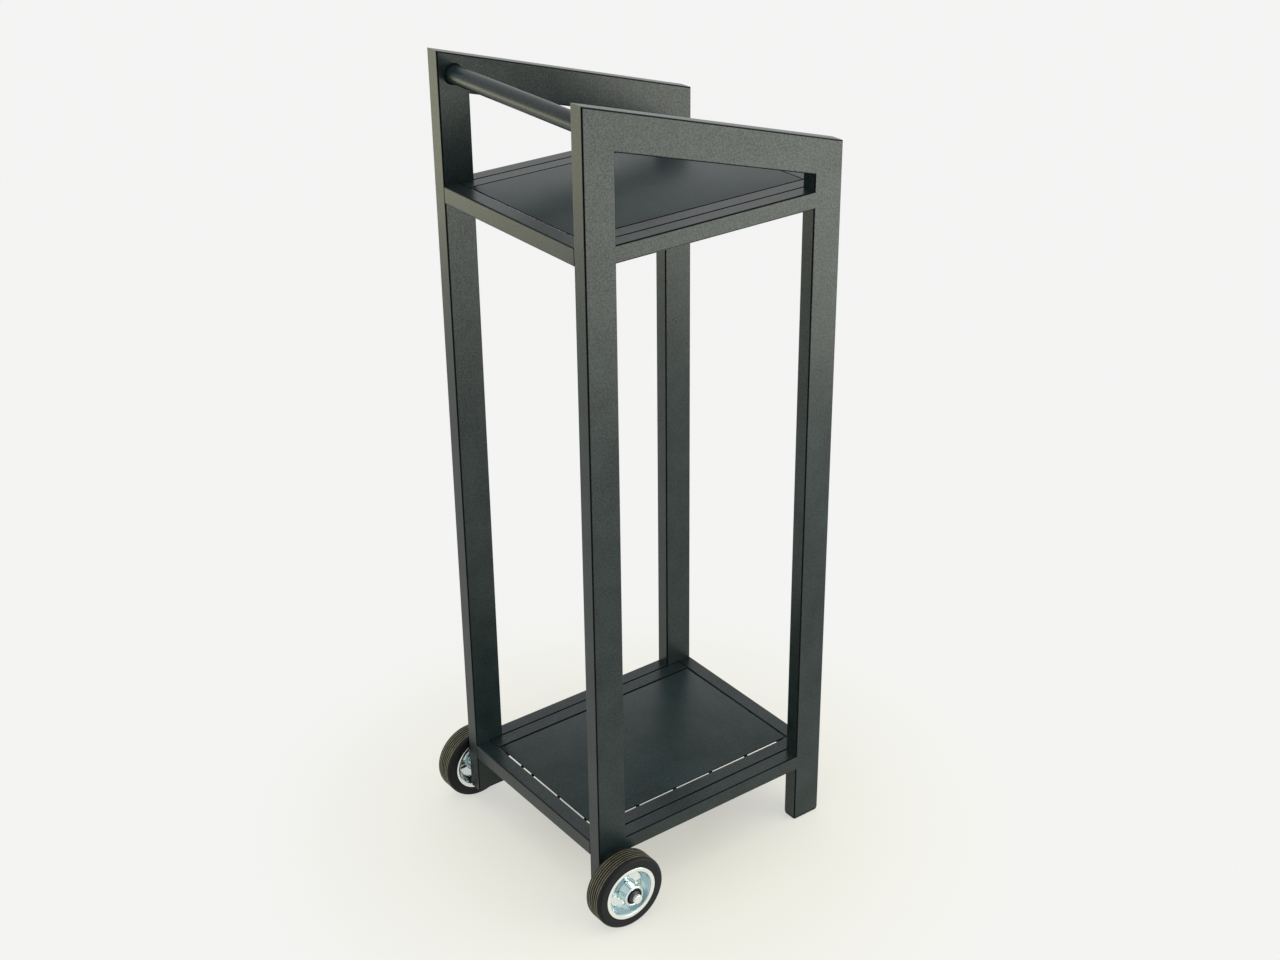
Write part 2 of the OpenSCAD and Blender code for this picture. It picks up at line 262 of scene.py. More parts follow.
@dataclass(frozen=True)
class PowderCoat:
    """Anthracite powder coat with a fine grain, and a near-black painted shade along the arrises of the
    tubes.
    """

    name: str = "powder_coat"
    light: Colour = (0.017, 0.029, 0.030, 1)
    dark: Colour = (0.001, 0.006, 0.007, 1)
    # painted shade: a near-black that stands in for the dark reflection along the tubes' rounded corners
    arris: Colour = (0.002, 0.002, 0.003, 1)
    arris_share: float = 0.95
    sheen_low: Colour = (0.58, 0.60, 0.58, 1)
    sheen_high: Colour = (1.00, 1.00, 0.98, 1)
    sheen_places: Span = (0.38, 0.62)
    coat_places: Span = (0.36, 0.64)
    across_corner: Rise = (0.04, 0.10)
    along_corner: Rise = (0.10, 0.10)
    grain: float = 1.5 * MM
    speck: float = 2.0 * MM
    cloud: float = 45 * MM
    cloud_share: float = 0.3
    relief: float = 0.10 * MM
    specular: float = 0.40
    rough: Span = (0.27, 0.36)

    def build(self) -> Finish:
        """Makes the material.

        Returns:
            The finish.
        """
        s = Shading(self.name)
        point = s.place()
        grain = s.noise(point, self.grain, 3)
        sheen = s.ramp(s.noise(point, self.speck, 1), self.sheen_places, self.sheen_low, self.sheen_high)
        fine = s.maths("MULTIPLY", grain, 1 - self.cloud_share)
        cloudy = s.maths("MULTIPLY", s.noise(point, self.cloud), self.cloud_share)
        coat = s.ramp(s.maths("ADD", fine, cloudy), self.coat_places, self.dark, self.light)
        # Painted shade: colour and reflection are both darkened on the rounded corners.
        if self.arris_share:
            edge = s.maths("MULTIPLY", self.edge(s), self.arris_share)
            coat = s.blend(edge, coat, self.arris)
            sheen = s.blend(edge, sheen, self.arris)
        s.feed(s.surface, "Base Color", coat)
        s.feed(s.surface, "Specular Tint", sheen)
        s.feed(s.surface, "Roughness", s.span(grain, *self.rough))
        s.surface.inputs["Specular IOR Level"].default_value = self.specular
        s.bump(grain, self.relief, 0.6)
        return Finish(s.material, Slot.POWDER)

    def edge(self, s: Shading) -> Socket:
        """Share of painted shade, from the surface's direction: 0 on a tube's flats and 1 on its rounded
        corners.

        The flats of the side frames' tubes face along X or at right angles to it, and those of the
        cross rails along Y or Z, so a product of squares tells flat from corner.

        Args:
            s: The material's nodes.

        Returns:
            The share from 0 to 1.
        """
        parts = s.add("SeparateXYZ", {"Vector": s.add("TexCoord").outputs["Normal"]})
        x, y, z = (s.maths("POWER", s.maths("ABSOLUTE", parts.outputs[axis]), 2.0) for axis in "XYZ")
        across = s.step(s.maths("MULTIPLY", x, s.maths("SUBTRACT", 1.0, x)), *self.across_corner)
        return s.maths("MAXIMUM", across, s.step(s.maths("MULTIPLY", y, z), *self.along_corner))


@dataclass(frozen=True)
class ZincPlate:
    """Blue-bright zinc plate on pressed steel.

    Its colour carries painted shade: darker on web, dish wall and hub, where the pressing's recesses
    are shaded, and near-black in the slots. It is nearly white on pads and flange.
    """

    centre: Vector
    web_edge: Rise = (1.0 * MM, 0.3 * MM)
    pad_edge: Rise = (1.8 * MM, 0.6 * MM)
    hub_edge: Rise = (12.65 * MM, 0.2 * MM)
    wall_edge: Rise = (25.4 * MM, 1.0 * MM)
    flange_edge: Rise = (31.0 * MM, 1.0 * MM)
    # slot, web and wall are painted shade: near-black in the slots and between the halves, and darker on
    # the web, the dish wall and the hub, where the pressing's recesses lie in shade.
    slot: Colour = (0.03, 0.045, 0.05, 1)
    web: Colour = (0.56, 0.69, 0.71, 1)
    face: Colour = (0.87, 0.93, 0.94, 1)
    wall: Colour = (0.58, 0.71, 0.73, 1)
    flange: Colour = (0.95, 0.965, 0.955, 1)
    cloud: float = 14 * MM
    cloud_span: Span = (0.88, 1.06)
    haze: float = 5 * MM
    rough: Span = (0.12, 0.20)
    ring: float = 0.8 * MM
    relief: float = 0.002 * MM

    def build(self) -> Finish:
        """Makes the material.

        Returns:
            The finish.
        """
        s = Shading("zinc_plate")
        point = s.place(self.centre)
        away = s.radius(point)
        height = s.maths("ABSOLUTE", s.across(self.centre))
        # Painted shade: slots, web, hub and dish wall are darkened, and pads and flange stay nearly white.
        plate = s.blend(s.step(height, *self.web_edge), self.slot, self.web)
        plate = s.blend(s.step(height, *self.pad_edge), plate, self.face)
        plate = s.blend(s.step(away, *self.hub_edge), self.wall, plate)
        plate = s.blend(s.step(away, *self.wall_edge), plate, self.wall)
        plate = s.blend(s.step(away, *self.flange_edge), plate, self.flange)
        cloud = s.span(s.noise(point, self.cloud), *self.cloud_span)
        shade = s.add("CombineXYZ", {axis: cloud for axis in "XYZ"}).outputs[0]
        tone = s.add("VectorMath", {0: plate, 1: shade}, operation="MULTIPLY").outputs[0]
        s.feed(s.surface, "Base Color", tone)
        s.feed(s.surface, "Roughness", s.span(s.noise(point, self.haze), *self.rough))
        s.surface.inputs["Metallic"].default_value = 1.0
        s.bump(s.rings(away, self.ring), self.relief, 0.25)
        return Finish(s.material, Slot.ZINC)


@dataclass(frozen=True)
class TurnedSteel:
    """Bright steel with the fine rings that a lathe leaves."""

    centre: Vector
    name: str = "turned_steel"
    slot: Slot = Slot.BRIGHT
    light: Colour = (0.95, 0.95, 0.94, 1)
    dark: Colour = (0.84, 0.84, 0.83, 1)
    rough: Span = (0.16, 0.26)
    cloud: float = 3 * MM
    ring: float = 0.35 * MM
    relief: float = 0.01 * MM

    def build(self) -> Finish:
        """Makes the material.

        Returns:
            The finish.
        """
        s = Shading(self.name)
        point = s.place(self.centre)
        cloud = s.noise(point, self.cloud, 3)
        s.feed(s.surface, "Base Color", s.ramp(cloud, (0.3, 0.7), self.dark, self.light))
        s.feed(s.surface, "Roughness", s.span(cloud, *self.rough))
        s.surface.inputs["Metallic"].default_value = 1.0
        s.bump(s.rings(s.radius(point), self.ring), self.relief, 0.4)
        return Finish(s.material, self.slot)


@dataclass(frozen=True)
class TyreRubber:
    """Solid rubber: bluish black side walls, and fine pale lines on the black tread's ridges, partly brown
    dust and partly a painted highlight.
    """

    centre: Vector
    radius: float
    half_width: float
    shoulder: float = 5 * MM
    line: float = 3.6 * MM
    grain: float = 0.9 * MM
    film: float = 7 * MM
    wall: Colour = (0.003, 0.005, 0.006, 1)
    wall_light: Colour = (0.012, 0.015, 0.018, 1)
    black: Colour = (0.004, 0.005, 0.005, 1)
    # The ridge lines' colour is partly brown dust and partly a painted highlight of the ridges.
    dust: Colour = (0.230, 0.220, 0.140, 1)
    line_edge: Rise = (0.0, 0.8)
    film_span: Span = (0.1, 1.0)
    wall_fade: float = 2 * MM
    tread_fade: float = 1 * MM
    ridge_in: float = 0.3 * MM
    ridge_fade: float = 0.2 * MM
    rough: Span = (0.42, 0.60)
    relief: float = 0.05 * MM

    def build(self) -> Finish:
        """Makes the material.

        Returns:
            The finish.
        """
        s = Shading("tyre_rubber")
        point = s.place(self.centre)
        fine = s.noise(point, self.grain, 4)
        away = s.radius(point)
        across = s.across(self.centre)
        side_wall = s.ramp(fine, (0.33, 0.67), self.wall, self.wall_light)
        outer = s.step(away, self.radius - self.shoulder, self.wall_fade)
        rubber = s.blend(outer, side_wall, self.black)
        tread_end = self.half_width - 0.8 * self.shoulder
        past_tread = s.step(s.maths("ABSOLUTE", across), tread_end, self.tread_fade)
        tread = s.maths("SUBTRACT", 1.0, past_tread)
        ridge = s.step(away, self.radius - self.ridge_in, self.ridge_fade)
        between = s.maths("SUBTRACT", across, self.line / 4)
        lines = s.step(s.rings(between, self.line), *self.line_edge)
        film = s.span(s.noise(point, self.film, 3), *self.film_span)
        # Pale lines on the tread's ridges: partly dust, partly a painted highlight.
        ridge_dust_and_highlight = s.maths("MULTIPLY", s.maths("MULTIPLY", tread, ridge), s.maths("MULTIPLY", lines, film))
        s.feed(s.surface, "Base Color", s.blend(ridge_dust_and_highlight, rubber, self.dust))
        s.feed(s.surface, "Roughness", s.span(fine, *self.rough))
        s.surface.inputs["Specular IOR Level"].default_value = 0.2
        s.bump(fine, self.relief, 0.6)
        return Finish(s.material, Slot.RUBBER)


@dataclass(frozen=True)
class MouldedPlastic:
    """Black moulded plastic with a fine spark-eroded skin."""

    light: Colour = (0.010, 0.011, 0.013, 1)
    dark: Colour = (0.004, 0.005, 0.006, 1)
    rough: Span = (0.44, 0.58)
    skin: float = 0.35 * MM
    relief: float = 0.02 * MM

    def build(self) -> Finish:
        """Makes the material.

        Returns:
            The finish.
        """
        s = Shading("moulded_plastic")
        fine = s.noise(s.place(), self.skin, 3)
        s.feed(s.surface, "Base Color", s.ramp(fine, (0.3, 0.7), self.dark, self.light))
        s.feed(s.surface, "Roughness", s.span(fine, *self.rough))
        s.surface.inputs["Specular IOR Level"].default_value = 0.22
        s.bump(fine, self.relief, 0.5)
        return Finish(s.material, Slot.PLASTIC)


@dataclass(frozen=True)
class StudioPaper:
    """Pale paper of the floor: it holds its tone to the camera and in mirrors, and takes the shadow."""

    colour: Colour = (0.86, 0.84, 0.60, 1)
    pale: Colour = (0.905, 0.905, 0.905, 1)
    near: float = 0.1
    far: float = 0.55
    steady: Span = (0.45, 0.98)

    def build(self) -> bpy.types.Material:
        """Makes the material, whose tone is the steadier the farther it lies from the cart.

        Returns:
            The material.
        """
        s = Shading("studio_paper")
        away = s.add("VectorMath", {0: s.place()}, operation="LENGTH").outputs["Value"]
        steady = s.span(s.step(away, self.near, self.far - self.near), *self.steady)
        s.surface.inputs["Base Color"].default_value = self.colour
        s.surface.inputs["Roughness"].default_value = 0.9
        s.surface.inputs["Specular IOR Level"].default_value = 0.0
        glow = s.add("Emission", {"Color": self.pale, "Strength": 1.0}).outputs[0]
        share = s.maths("MULTIPLY", s.seen(), steady)
        mix = s.add("MixShader", {0: share, 1: s.surface.outputs[0], 2: glow})
        s.feed(s.tree.nodes["Material Output"], "Surface", mix.outputs[0])
        return s.material


# ---------------------------------------------------------------- bench


class Bench:
    """The modelling bench: each method is one operation by hand on a piece."""

    @staticmethod
    def clear() -> None:
        """Leaves edit mode and deselects every object."""
        active = bpy.context.view_layer.objects.active
        if active is not None and active.mode != "OBJECT":
            bpy.ops.object.mode_set(mode="OBJECT")
        bpy.ops.object.select_all(action="DESELECT")

    @classmethod
    def take(cls, *pieces: Piece) -> None:
        """Selects these pieces alone and makes the first one active.

        Args:
            pieces: The pieces to select.
        """
        cls.clear()
        for piece in pieces:
            piece.select_set(True)
        bpy.context.view_layer.objects.active = pieces[0]

    @classmethod
    @contextmanager
    def editing(
        cls, piece: Piece, element: Element = Element.VERT, wanted: Wanted | None = None
    ) -> Iterator[None]:
        """Opens a piece in edit mode with its wanted elements selected, and closes it again.

        Args:
            piece: The piece to edit.
            element: What is selected.
            wanted: Says whether an element is selected. Without it, all of them are.

        Yields:
            Nothing. The piece is in edit mode until the block ends.
        """
        cls.take(piece)
        bpy.ops.object.mode_set(mode="EDIT")
        bpy.ops.mesh.select_mode(type=element.name)
        bpy.ops.mesh.select_all(action="SELECT" if wanted is None else "DESELECT")
        if wanted is not None:
            cls.pick(piece, element, wanted)
        yield
        bpy.ops.object.mode_set(mode="OBJECT")

    @staticmethod
    def pick(piece: Piece, element: Element, wanted: Wanted) -> None:
        """Selects the wanted elements of a piece in edit mode.

        Args:
            piece: The piece in edit mode.
            element: What is selected.
            wanted: Says whether an element is selected.
        """
        mesh = bmesh.from_edit_mesh(piece.data)
        for part in getattr(mesh, element.value):
            part.select_set(wanted(part))
        bmesh.update_edit_mesh(piece.data)

    @staticmethod
    def settle(name: str) -> Piece:
        """Names the active object and moves its place, turn and scale into its mesh.

        Args:
            name: The piece's name.

        Returns:
            The piece.
        """
        bpy.ops.object.transform_apply(location=True, rotation=True, scale=True)
        piece = bpy.context.object
        piece.name = name
        piece.data.name = name
        return piece

    @classmethod
    def block(cls, name: str, low: Vector, high: Vector) -> Piece:
        """Adds a box.

        Args:
            name: The new piece's name.
            low: Its corner with the smallest coordinates.
            high: Its corner with the largest coordinates.

        Returns:
            The box, with its place in its mesh.
        """
        cls.clear()
        bpy.ops.mesh.primitive_cube_add(size=1, location=(low + high) / 2, scale=high - low)
        return cls.settle(name)

    @classmethod
    def ball(cls) -> Piece:
        """Adds a ball.

        Returns:
            A ball of radius 1 at the origin.
        """
        cls.clear()
        bpy.ops.mesh.primitive_ico_sphere_add(subdivisions=2, radius=1)
        return cls.settle("ball")

    @classmethod
    def rod(cls, name: str, centre: Vector, radius: float, length: float) -> Piece:
        """Adds a rod along X.

        Args:
            name: The new piece's name.
            centre: Its middle.
            radius: Its radius.
            length: Its length.

        Returns:
            The rod, with its place in its mesh.
        """
        cls.clear()
        bpy.ops.mesh.primitive_cylinder_add(
            vertices=32, radius=radius, depth=length, location=centre, rotation=(0, math.pi / 2, 0)
        )
        return cls.settle(name)

    @staticmethod
    def copies(piece: Piece, count: int) -> list[Piece]:
        """Copies a piece, each copy with its own mesh.

        Args:
            piece: The piece to copy.
            count: How many pieces there are afterwards.

        Returns:
            The piece and its copies.
        """
        made = [piece]
        for _ in range(count - 1):
            twin = piece.copy()
            twin.data = piece.data.copy()
            bpy.context.scene.collection.objects.link(twin)
            made.append(twin)
        return made

    @classmethod
    def join(cls, name: str, pieces: list[Piece]) -> Piece:
        """Makes one piece of several.

        Args:
            name: The new piece's name.
            pieces: What it is made of.

        Returns:
            The piece.
        """
        cls.take(*pieces)
        bpy.ops.object.join()
        return cls.settle(name)

    @classmethod
    def modify(cls, piece: Piece, kind: str, **settings: object) -> None:
        """Adds a modifier and applies it.

        Args:
            piece: The piece to change.
            kind: The modifier's type.
            settings: The modifier's own properties.
        """
        cls.take(piece)
        modifier = piece.modifiers.new(kind.lower(), kind)
        for key, value in settings.items():
            setattr(modifier, key, value)
        bpy.ops.object.modifier_apply(modifier=modifier.name)

    @classmethod
    def round_edges(cls, piece: Piece, width: float, segments: int = 3, angle: float = 30) -> None:
        """Bevels every edge that is sharper than the angle, in degrees."""
        limit = {"limit_method": "ANGLE", "angle_limit": math.radians(angle)}
        cls.modify(piece, "BEVEL", width=width, segments=segments, **limit)

    @classmethod
    def cut(cls, piece: Piece, cutter: Piece, operation: str = "DIFFERENCE") -> None:
        """Cuts one piece with another, or adds it, and throws the cutter away."""
        cls.modify(piece, "BOOLEAN", operation=operation, object=cutter, solver="EXACT")
        bpy.data.objects.remove(cutter)

    @classmethod
    def smooth(cls, piece: Piece, angle: float = 32) -> None:
        """Shades the piece smooth across edges that are flatter than the angle, in degrees."""
        cls.take(piece)
        bpy.ops.object.shade_smooth_by_angle(angle=math.radians(angle))


def arc(along: float, out: float, r: float, start: float, end: float, steps: int = 5) -> Outline:
    """Points of an arc about a centre, between two angles: 0 along the axle and 90 away from it."""
    turns = [math.radians(start + (end - start) * i / steps) for i in range(steps + 1)]
    return [(along + r * math.cos(t), out + r * math.sin(t)) for t in turns]


def mirrored(half: Outline) -> Outline:
    """The same points on the other side of the wheel's middle plane, in the opposite order."""
    return [(-along, out) for along, out in reversed(half)]


@dataclass
class Lathe:
    """Turns outlines round the axle of one side.

    An outline's first number runs along the axle, away from the cart, from the wheel's middle, and its
    second number is the distance from the axle's centre line.
    """

    side: Side
    centre: Vector
    steps: int = 120

    def place(self, along: float, out: float, angle: float = 0) -> Vector:
        """A point round the axle, at an angle in degrees from the upright."""
        turn = math.radians(angle)
        return self.centre + Vector((self.side.value * along, out * math.sin(turn), out * math.cos(turn)))

    def turn(self, name: str, outline: Outline, closed: bool = True, angle: float = 360) -> Piece:
        """Draws an outline by extruding a point, and spins it round the axle.

        Args:
            name: The new piece's name.
            outline: The points of the outline.
            closed: Whether the last point joins the first one.
            angle: How far the outline is spun, in degrees.

        Returns:
            The piece, with faces that point outwards.
        """
        Bench.clear()
        bpy.ops.mesh.primitive_plane_add(size=MM, location=(0, 0, 0))
        piece = Bench.settle(name)
        corner = piece.data.vertices[0].co.copy()
        points = [self.place(*p) for p in (outline + outline[:1] if closed else outline)]
        with Bench.editing(piece, Element.VERT, lambda vert: vert.index > 0):
            bpy.ops.mesh.delete(type="VERT")
            bpy.ops.mesh.select_all(action="SELECT")
            bpy.ops.transform.translate(value=points[0] - corner)
            for here, there in zip(points, points[1:]):
                bpy.ops.mesh.extrude_vertices_move(TRANSFORM_OT_translate={"value": there - here})
            bpy.ops.mesh.select_all(action="SELECT")
            bpy.ops.mesh.remove_doubles(threshold=0.001 * MM)
            steps = round(self.steps * angle / 360)
            bpy.ops.mesh.spin(steps=steps, angle=math.radians(angle), center=self.centre, axis=(1, 0, 0))
        with Bench.editing(piece):
            bpy.ops.mesh.remove_doubles(threshold=0.002 * MM)
            bpy.ops.mesh.normals_make_consistent(inside=False)
        return piece

    def angle_of(self, point: Vector) -> float:
        """Angle of a point round the axle, from the upright, from 0 to 360 degrees."""
        away = point - self.centre
        return math.degrees(math.atan2(away.y, away.z)) % 360

    def radius_of(self, point: Vector) -> float:
        """Distance of a point from the axle's centre line."""
        away = point - self.centre
        return math.hypot(away.y, away.z)

    def along_of(self, point: Vector) -> float:
        """Place of a point along the axle, away from the cart, from the wheel's middle."""
        return self.side.value * (point.x - self.centre.x)


# ---------------------------------------------------------------- pieces


@dataclass(frozen=True)
class Finishes:
    """The cart's finishes, built once and shared by its pieces."""

    powder: Finish
    sheet_powder: Finish
    round_powder: Finish
    weld_powder: Finish
    zinc: Finish
    bright: Finish
    spring: Finish
    rubber: Finish
    plastic: Finish

    @classmethod
    def build(cls) -> "Finishes":
        """Makes all finishes. Those of wheels and axles are centred on the right wheel and fit both.

        Returns:
            The finishes.
        """
        low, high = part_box("right_tyre")
        centre = (low + high) / 2
        # The plates' coat is bluer than the frame's: painted blue-green light from above.
        sheet = PowderCoat(
            "powder_coat_sheet",
            light=(0.016, 0.032, 0.033, 1),
            dark=(0.002, 0.010, 0.011, 1),
            specular=0.31,
            rough=(0.35, 0.45),
        )
        # Near-black weld coat: painted shade, standing in for the dark shade round the handle's welded
        # ends. The tacks wear it too.
        weld = PowderCoat(
            "powder_coat_weld", light=PowderCoat.arris, arris_share=0, specular=0.08, rough=(0.6, 0.7)
        )
        spring = TurnedSteel(
            centre,
            "spring_steel",
            Slot.SPRING,
            light=(0.10, 0.10, 0.105, 1),
            dark=(0.05, 0.05, 0.055, 1),
            rough=(0.34, 0.48),
        )
        return cls(
            powder=PowderCoat().build(),
            sheet_powder=sheet.build(),
            round_powder=PowderCoat("powder_coat_round", arris_share=0).build(),
            weld_powder=weld.build(),
            zinc=ZincPlate(centre).build(),
            bright=TurnedSteel(centre).build(),
            spring=spring.build(),
            rubber=TyreRubber(centre, (high.z - low.z) / 2, (high.x - low.x) / 2).build(),
            plastic=MouldedPlastic().build(),
        )


def dress(piece: Piece, finish: Finish, body: Body, *nodes: str) -> None:
    """Gives a finished piece its material, its body and the nodes that it stands for.

    Args:
        piece: The piece, in place.
        finish: Its finish.
        body: The body that it moves with.
        nodes: The CAD nodes that it replaces.
    """
    piece.data.materials.clear()
    piece.data.materials.append(finish.material)
    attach(piece, body.value)
    if nodes:
        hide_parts(*nodes)
    log.info("%s: %d faces, rides on %s", piece.name, len(piece.data.polygons), body.value)


def keep_node(node: str, finish: Finish) -> None:
    """Keeps a CAD node as it is and gives it a better finish.

    Args:
        node: The node's name.
        finish: Its finish.
    """
    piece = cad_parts[node]
    if not piece.material_slots:
        piece.data.materials.append(finish.material)
    for held in piece.material_slots:
        held.material = finish.material
    log.info("%s: kept from the frame", node)


@dataclass
class WeldSeam:
    """Weld beads: overlapping drops along lines, melted into one skin."""

    radius: float
    pitch: float
    skin: float = 0.35 * MM
    swell: float = 0.06

    def line(self, start: Vector, end: Vector) -> list[Vector]:
        """Points of a straight bead from start to end."""
        count = max(2, round((end - start).length / self.pitch))
        return [start.lerp(end, i / (count - 1)) for i in range(count)]

    def melt(self, name: str, beads: list[list[Vector]]) -> Piece:
        """Sets drops along the beads, in turn a little larger and smaller, and draws one skin over them.

        Args:
            name: The new piece's name.
            beads: The points of each bead.

        Returns:
            All beads as one piece.
        """
        places = [(point, (-1) ** i) for bead in beads for i, point in enumerate(bead)]
        drops = Bench.copies(Bench.ball(), len(places))
        for drop, (point, turn) in zip(drops, places, strict=True):
            size = Matrix.Scale(self.radius * (1 + self.swell * turn), 4)
            drop.data.transform(Matrix.Translation(point) @ size)
        piece = Bench.join(name, drops)
        Bench.modify(piece, "REMESH", mode="VOXEL", voxel_size=self.skin)
        Bench.modify(piece, "SMOOTH", factor=0.5, iterations=2)
        Bench.smooth(piece, 60)
        return piece


@dataclass
class SideFrame:
    """One welded side frame of flat tube, with the welds of its rails ground flush."""

    finishes: Finishes
    side: Side
    corner: float = 2 * MM

    def build(self) -> None:
        """Dresses the frame's tubes and fills the corners where its rails meet its posts."""
        for part in ("rear_post", "front_post", "top_bar", "shelf_side_rail", "deck_side_rail"):
            keep_node(f"{self.side.word}_{part}", self.finishes.powder)
        for tray in ("shelf", "deck"):
            self.ground_welds(tray)

    def ground_welds(self, tray: str) -> None:
        """Continues a side rail's outline over the rounded corners of both posts, as ground welds do.

        Args:
            tray: The tray that the rail carries.
        """
        low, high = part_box(f"{self.side.word}_{tray}_side_rail")
        start = Vector((low.x, low.y - self.corner, low.z))
        rear = Bench.block("fill", start, Vector((high.x, low.y, high.z)))
        with Bench.editing(rear, Element.EDGE, self.runs_along):
            bpy.ops.mesh.bevel(offset=self.corner, segments=12, affect="EDGES")
        fills = Bench.copies(rear, 2)
        fills[1].data.transform(Matrix.Translation((0, high.y - low.y + self.corner, 0)))
        welds = Bench.join(f"{self.side.word}_{tray}_ground_welds", fills)
        Bench.smooth(welds)
        dress(welds, self.finishes.powder, Body.FRAME)

    def runs_along(self, edge: bmesh.types.BMEdge) -> bool:
        """Whether an edge runs along the side rail."""
        return abs(edge.verts[0].co.y - edge.verts[1].co.y) > self.corner / 2


@dataclass
class Handle:
    """The round handle bar and the weld collars at its ends."""

    finishes: Finishes
    collar: WeldSeam

    def build(self) -> None:
        """Dresses the bar and lays a weld round each end."""
        keep_node("handle_bar", self.finishes.round_powder)
        low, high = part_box("handle_bar")
        middle = (low + high) / 2
        radius = (high.z - low.z) / 2
        count = round(math.tau * radius / self.collar.pitch)
        turns = [math.tau * i / count for i in range(count)]
        for side in Side:
            end = Vector((high.x if side is Side.RIGHT else low.x, middle.y, middle.z))
            ring = [end + radius * Vector((0, math.sin(t), math.cos(t))) for t in turns]
            bead = self.collar.melt(f"handle_weld_{side.word}", [ring])
            # The weld coat's near-black tone is painted shade round the bar's ends.
            dress(bead, self.finishes.weld_powder, Body.FRAME)


@dataclass
class Tray:
    """The shelf or the log deck: rails, a plate, the tacks that hold it, and stitch welds below."""

    finishes: Finishes
    name: str
    tack_length: float = 5 * MM
    tack_pitch: float = 60 * MM
    tack_share: float = 0.62
    drop_share: float = 0.45
    end_share: float = 0.6
    tack_skin: float = 0.3 * MM
    odd_tacks: tuple[float, ...] = ()
    plate_edge: float = 0.35 * MM
    stitch_length: float = 24 * MM
    stitch_radius: float = 1.8 * MM
    stitch_drop: float = 1.5 * MM
    stitch_places: tuple[float, ...] = (0.15, 0.5, 0.85)

    def build(self) -> None:
        """Makes and dresses all pieces of the tray."""
        for part in ("rear_rail", "front_rail", "right_rail", "left_rail"):
            keep_node(f"{self.name}_{part}", self.finishes.powder)
        self.plate()
        self.tacks()
        self.stitches()

    def plate(self) -> None:
        """The sheet, with broken edges."""
        plate = Bench.block(f"{self.name}_plate", *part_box(f"{self.name}_sheet"))
        Bench.round_edges(plate, self.plate_edge)
        Bench.smooth(plate)
        # The plate's bluer coat carries painted blue-green light from above.
        dress(plate, self.finishes.sheet_powder, Body.FRAME, f"{self.name}_sheet")

    def tacks(self) -> None:
        """Short beads in the gap round the plate."""
        low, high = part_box(f"{self.name}_sheet")
        outer_low, outer_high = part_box(f"{self.name}_tack_welds")
        gap = low.y - outer_low.y
        bead = WeldSeam(gap * self.tack_share, gap * self.drop_share, self.tack_skin)
        middle = (low + high) / 2
        middle.z = outer_high.z - bead.radius
        x_reach = Vector(((high.x - low.x + gap) / 2, 0, 0))
        y_reach = Vector((0, (high.y - low.y + gap) / 2, 0))
        half = self.tack_length / 2 - bead.radius * self.end_share
        beads = []
        for reach, other in ((x_reach, y_reach), (y_reach, x_reach)):
            along = reach.normalized()
            for place in self.places(reach.length):
                for turn, back in ((1, 1), (1, -1), (-1, 1), (-1, -1)):
                    centre = middle + turn * place * along + back * other
                    beads.append(bead.line(centre - half * along, centre + half * along))
        for place in self.odd_tacks:
            start = middle - y_reach + Vector((place - half, 0, 0))
            beads.append(bead.line(start, start + Vector((2 * half, 0, 0))))
        tacks = bead.melt(f"{self.name}_tacks", beads)
        # The tacks wear the near-black weld coat, whose tone is painted shade.
        dress(tacks, self.finishes.weld_powder, Body.FRAME, f"{self.name}_tack_welds")

    def places(self, reach: float) -> list[float]:
        """Distances of the tacks from an edge's middle, up to its end."""
        count = math.ceil((reach - self.tack_length) / self.tack_pitch - 0.5)
        return [self.tack_pitch * (i + 0.5) for i in range(count)]

    def stitches(self) -> None:
        """Stitch welds below the seams between the tray and the side frames."""
        low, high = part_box(f"{self.name}_right_rail")
        seam = WeldSeam(self.stitch_radius, self.stitch_drop)
        half = Vector((0, self.stitch_length / 2, 0))
        beads = []
        for side in Side:
            for share in self.stitch_places:
                middle = Vector((side.value * high.x, low.y + share * (high.y - low.y), low.z))
                beads.append(seam.line(middle - half, middle + half))
        dress(seam.melt(f"{self.name}_stitch_welds", beads), self.finishes.round_powder, Body.FRAME)


@dataclass
class Plug:
    """A moulded plug in a tube's end: a rounded head below the tube and a hollow shank inside it."""

    finishes: Finishes
    side: Side
    part: str
    head: float
    rounding: float
    wall: float = 2 * MM
    shank_in: float = 2.2 * MM
    soft_edge: float = 0.25 * MM

    def build(self) -> None:
        """Makes the plug from a block, by inset and extrude, and rounds it."""
        node = f"{self.side.word}_{self.part}"
        low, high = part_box(node)
        top = low.z + self.head
        rise = Vector((0, 0, high.z - top))
        piece = Bench.block(f"{node}_moulding", low, Vector((high.x, high.y, top)))
        with Bench.editing(piece, Element.EDGE, lambda e: min(v.co.z for v in e.verts) < low.z + NEAR):
            bpy.ops.mesh.bevel(offset=self.rounding, segments=7, affect="EDGES", clamp_overlap=True)
        with Bench.editing(piece, Element.FACE, lambda face: face.normal.z > 0.9):
            bpy.ops.mesh.inset(thickness=self.shank_in)
            bpy.ops.mesh.extrude_region_move(TRANSFORM_OT_translate={"value": rise})
            bpy.ops.mesh.inset(thickness=self.wall)
            bpy.ops.mesh.extrude_region_move(TRANSFORM_OT_translate={"value": -rise})
        Bench.round_edges(piece, self.soft_edge, 2, 50)
        Bench.smooth(piece)
        dress(piece, self.finishes.plastic, Body.FRAME, node)


